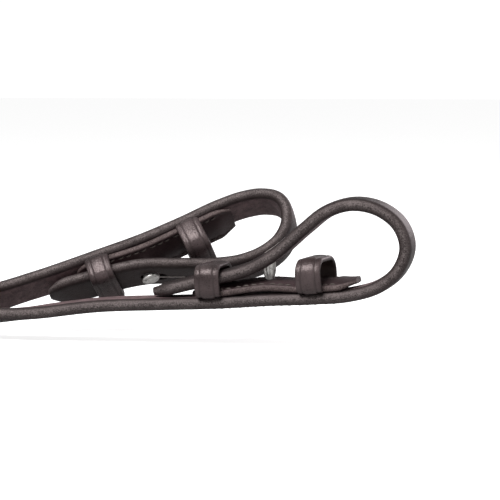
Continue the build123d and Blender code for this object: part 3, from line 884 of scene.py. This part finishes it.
def cut_slot(billet, run, grain, at, length, width, shift):
    """Cuts the slot the stud stands in, with the stud's own direction."""
    along, inner = inward(run, at, grain)
    across = run[at][1]
    way = along * grain
    origin = run[at][0] + inner * (THICK / 2) + way * shift
    bm = bmesh.new()
    rings = []
    for height in (SLOT_LOW, SLOT_HIGH):
        ring = []
        for j in range(SLOT_SIDES):
            a = 2 * math.pi * j / SLOT_SIDES
            flat = way * math.cos(a) * length / 2 + across * math.sin(a) * width / 2
            ring.append(bm.verts.new(origin + flat + inner * height))
        rings.append(ring)
    lower, upper = rings
    for j in range(SLOT_SIDES):
        n = (j + 1) % SLOT_SIDES
        bm.faces.new((lower[j], lower[n], upper[n], upper[j]))
    bm.faces.new(lower[::-1])
    bm.faces.new(upper)
    cutter = finish_mesh("slot_cutter", bm)
    change = billet.modifiers.new("slot", "BOOLEAN")
    change.object = cutter
    change.operation = "DIFFERENCE"
    change.solver = "EXACT"
    graph = bpy.context.evaluated_depsgraph_get()
    final = bpy.data.meshes.new_from_object(billet.evaluated_get(graph))
    billet.modifiers.clear()
    billet.data = final
    bpy.data.objects.remove(cutter)


cut_slot(front_billet, front_run, 1, FRONT_PLACES["stud"], 11.0 * MM, 6.2 * MM, 1.5 * MM)
cut_slot(rear_billet, rear_run, -1, REAR_PLACES["stud"], 10.4 * MM, 5.8 * MM, -1.4 * MM)


# ---- slits ----------------------------------------------------------------------------------
# How far before the stud the slit starts and stops, in steps of the folded-back end.
SLIT_START, SLIT_STOP = 18, 6
SLIT_SHAPE = (0.6 * MM, 0.4 * MM)


def slit_section(width, thick):
    """A plain square lip: nothing on it is a cut edge, grain or flesh."""
    half, deep = width / 2, thick / 2
    return [(half, deep, 0, 0, 0), (half, -deep, 0, 0, 0), (-half, -deep, 0, 0, 0), (-half, deep, 0, 0, 0)]


def slit(name, back, grain, stud_place, body):
    """The pale lips of the slit that runs on from the slot, on the billet's grain side; their raw-leather tone is
    lightened past its own colour as painted light, so they stay pale on a face in shade.
    """
    nearest = min(range(len(back)), key=lambda k: (back[k][0] - stud_place).length)
    first, last = nearest - SLIT_START, nearest - SLIT_STOP
    stations = []
    for k in range(first, last + 1):
        along = (back[k + 1][0] - back[k - 1][0]).normalized()
        across = back[k][1]
        out = across.cross(along) * grain
        wave = 0.12 * MM * math.sin(k * 1.9) + 0.25 * MM * (k - first) / (last - first)
        stations.append((back[k][0] + out * (THICK / 2 + 0.2 * MM) + across * wave, across))
    made, _ = sweep(name, stations, SLIT_SHAPE, grain, section=slit_section)
    dress(made, RAW_LEATHER_WITH_PAINTED_LIGHT)
    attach(made, body)


slit("front_billet_slit_lips", front_back, 1, front_run[FRONT_PLACES["stud"]][0], "front_billet_return")
slit("rear_billet_slit_lips", rear_back, -1, rear_run[REAR_PLACES["stud"]][0], "rear_billet_return")


# ---- hand ends -----------------------------------------------------------------------------
# The chape folds round the buckle's bar: (along, out) in millimetres.
CHAPE = [
    (-22.5, 1.25), (-14, 1.25), (-8, 1.6), (-4, 2.8), (-1.2, 0),
    (-4, -2.8), (-8, -1.6), (-14, -1.25), (-21, -1.25)]
CHAPE_THICK = 2.3 * MM
chape_path = smooth_path(CHAPE, (1, 0), (-1, 0), 0.8)
chape_stations = [(hand_point(p.x * MM, p.y * MM), -UP) for p in chape_path]
chape, _ = sweep("front_chape_fold", chape_stations, (HAND_WIDTH, CHAPE_THICK), 1)
dress(chape, STRAP_LEATHER)
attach(chape, "wound_straps")


HAND_KEEPER_STRIP = 5.0 * MM
HAND_KEEPER_WALL = 1.3 * MM
HAND_KEEPER_LOW, HAND_KEEPER_HIGH = -2.7 * MM, 7.4 * MM
HAND_KEEPER_ROUND = 1.6 * MM


def hand_keeper(name, place, node):
    """A narrow keeper round the chape and the holed end."""
    return keeper(
        name, hand_point(place * MM, 0), HAND_LINE, UP, HAND_OUT, HAND_WIDTH + 0.6 * MM,
        HAND_KEEPER_LOW, HAND_KEEPER_HIGH, HAND_KEEPER_STRIP, HAND_KEEPER_WALL,
        HAND_KEEPER_ROUND, node)


buckle_keeper = hand_keeper("buckle_keeper_leather", -12.0, "buckle_keeper")
runner = hand_keeper("loose_runner_leather", -18.2, "loose_runner")

HAND_STITCHES = [-21.5 + 3.4 * number for number in range(4)]
HAND_STITCH_OUT = -2.35 * MM
HAND_STITCH_LINE = 4.2 * MM
hand_bm = bmesh.new()
for side in (-1, 1):
    for place in HAND_STITCHES:
        centre = hand_point(place * MM, HAND_STITCH_OUT) + UP * side * HAND_STITCH_LINE
        add_stitch(hand_bm, centre, HAND_LINE, UP, -HAND_OUT, STITCH_LENGTH, 0.4 * MM)
hand_thread = finish_mesh("buckle_thread", hand_bm)
dress(hand_thread, THREAD)
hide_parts("buckle_stitching")

for node in ("buckle_frame", "buckle_tongue"):
    piece = frame["nodes"][node]
    piece.data.materials.clear()
    piece.data.materials.append(BUCKLE_METAL)

# ---- what each piece rides on ----------------------------------------------------------------
for piece in [front_lay, front_stitches, front_stud] + front_keepers:
    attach(piece, "front_bit_end")
for piece in [rear_lay, rear_stitches, rear_stud] + rear_keepers:
    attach(piece, "rear_bit_end")
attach(front_billet, "front_billet_return")
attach(rear_billet, "rear_billet_return")
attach(buckle_keeper, "wound_straps")
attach(hand_thread, "wound_straps")
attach(runner, "runner")
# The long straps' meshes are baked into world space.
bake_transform(front_strap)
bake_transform(rear_strap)
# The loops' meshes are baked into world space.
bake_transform(front_loop)
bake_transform(rear_loop)


# ---- the studio ------------------------------------------------------------------------------
def floor_finish():
    made, nodes, links, out = shader("paper_floor")
    out.inputs["Roughness"].default_value = 0.9
    seen = nodes.new("ShaderNodeLightPath").outputs["Is Camera Ray"]
    # Pale to the camera; darker to other rays, so that undersides stay dark.
    links.new(mixed(nodes, links, seen, (0.42, 0.42, 0.42), (0.8, 0.8, 0.8)), out.inputs["Base Color"])
    out.inputs["Emission Color"].default_value = (1, 1, 1, 1)
    links.new(maths(nodes, links, "MULTIPLY", seen, 0.75), out.inputs["Emission Strength"])
    return made


FLOOR_REACH = 6.0
floor_data = bpy.data.meshes.new("floor")
corners = [(FLOOR_REACH * x, FLOOR_REACH * y, 0) for x, y in ((-1, -1), (1, -1), (1, 1), (-1, 1))]
floor_data.from_pydata(corners, [], [(0, 1, 2, 3)])
floor = bpy.data.objects.new("floor", floor_data)
floor.location.z = -0.4 * MM
bpy.context.scene.collection.objects.link(floor)
floor_data.materials.append(floor_finish())

world = bpy.data.worlds.new("studio")
bpy.context.scene.world = world
world.use_nodes = True
SKY_FILL = 0.26
SKY_SEEN = 0.79
sky_nodes, sky_links = world.node_tree.nodes, world.node_tree.links
sky = sky_nodes["Background"]
sky.inputs["Color"].default_value = (1.0, 1.0, 1.0, 1)
# Near white to the camera; a weak fill light to everything else.
sky_seen = sky_nodes.new("ShaderNodeLightPath").outputs["Is Camera Ray"]
sky_extra = maths(sky_nodes, sky_links, "MULTIPLY", sky_seen, SKY_SEEN)
sky_links.new(maths(sky_nodes, sky_links, "ADD", sky_extra, SKY_FILL), sky.inputs["Strength"])

strap_low, strap_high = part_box("front_bit_end_strap")
rear_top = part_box("rear_bit_end_strap")[1].z
aim_x = strap_low.x + 0.476 * (strap_high.x - strap_low.x)
AIM = Vector((aim_x, FRONT_FLEX.y, 0.622 * rear_top))
AZIMUTH = math.radians(12)
ELEVATION = math.radians(5)
DISTANCE = 0.8
FRAME_WIDTH = 11.9 * WIDTH
BACK = Vector((
    math.sin(AZIMUTH) * math.cos(ELEVATION),
    -math.cos(AZIMUTH) * math.cos(ELEVATION),
    math.sin(ELEVATION)))


def area_light(name, place, size, power, tint=(1, 1, 1)):
    data = bpy.data.lights.new(name, "AREA")
    data.color = tint
    data.shape = "RECTANGLE"
    data.size, data.size_y = size
    data.energy = power
    made = bpy.data.objects.new(name, data)
    made.location = place
    made.rotation_euler = (AIM - place).to_track_quat("-Z", "Y").to_euler()
    bpy.context.scene.collection.objects.link(made)
    return made


area_light("key_light", AIM + Vector((-0.25, -0.60, 0.85)), (0.5, 0.35), 15.5)
area_light("side_light", AIM + Vector((0.9, -0.35, 0.35)), (0.5, 0.6), 2.5)
area_light("back_light", AIM + Vector((0.45, 0.9, 0.35)), (0.8, 0.6), 3.2, (1.0, 0.90, 0.93))

SENSOR = 36
camera_data = bpy.data.cameras.new("camera")
camera_data.sensor_width = SENSOR
camera_data.lens = SENSOR * DISTANCE / FRAME_WIDTH
camera = bpy.data.objects.new("camera", camera_data)
camera.location = AIM + BACK * DISTANCE
camera.rotation_euler = BACK.to_track_quat("Z", "Y").to_euler()
bpy.context.scene.collection.objects.link(camera)
bpy.context.scene.camera = camera
bpy.context.scene.view_settings.view_transform = "Standard"
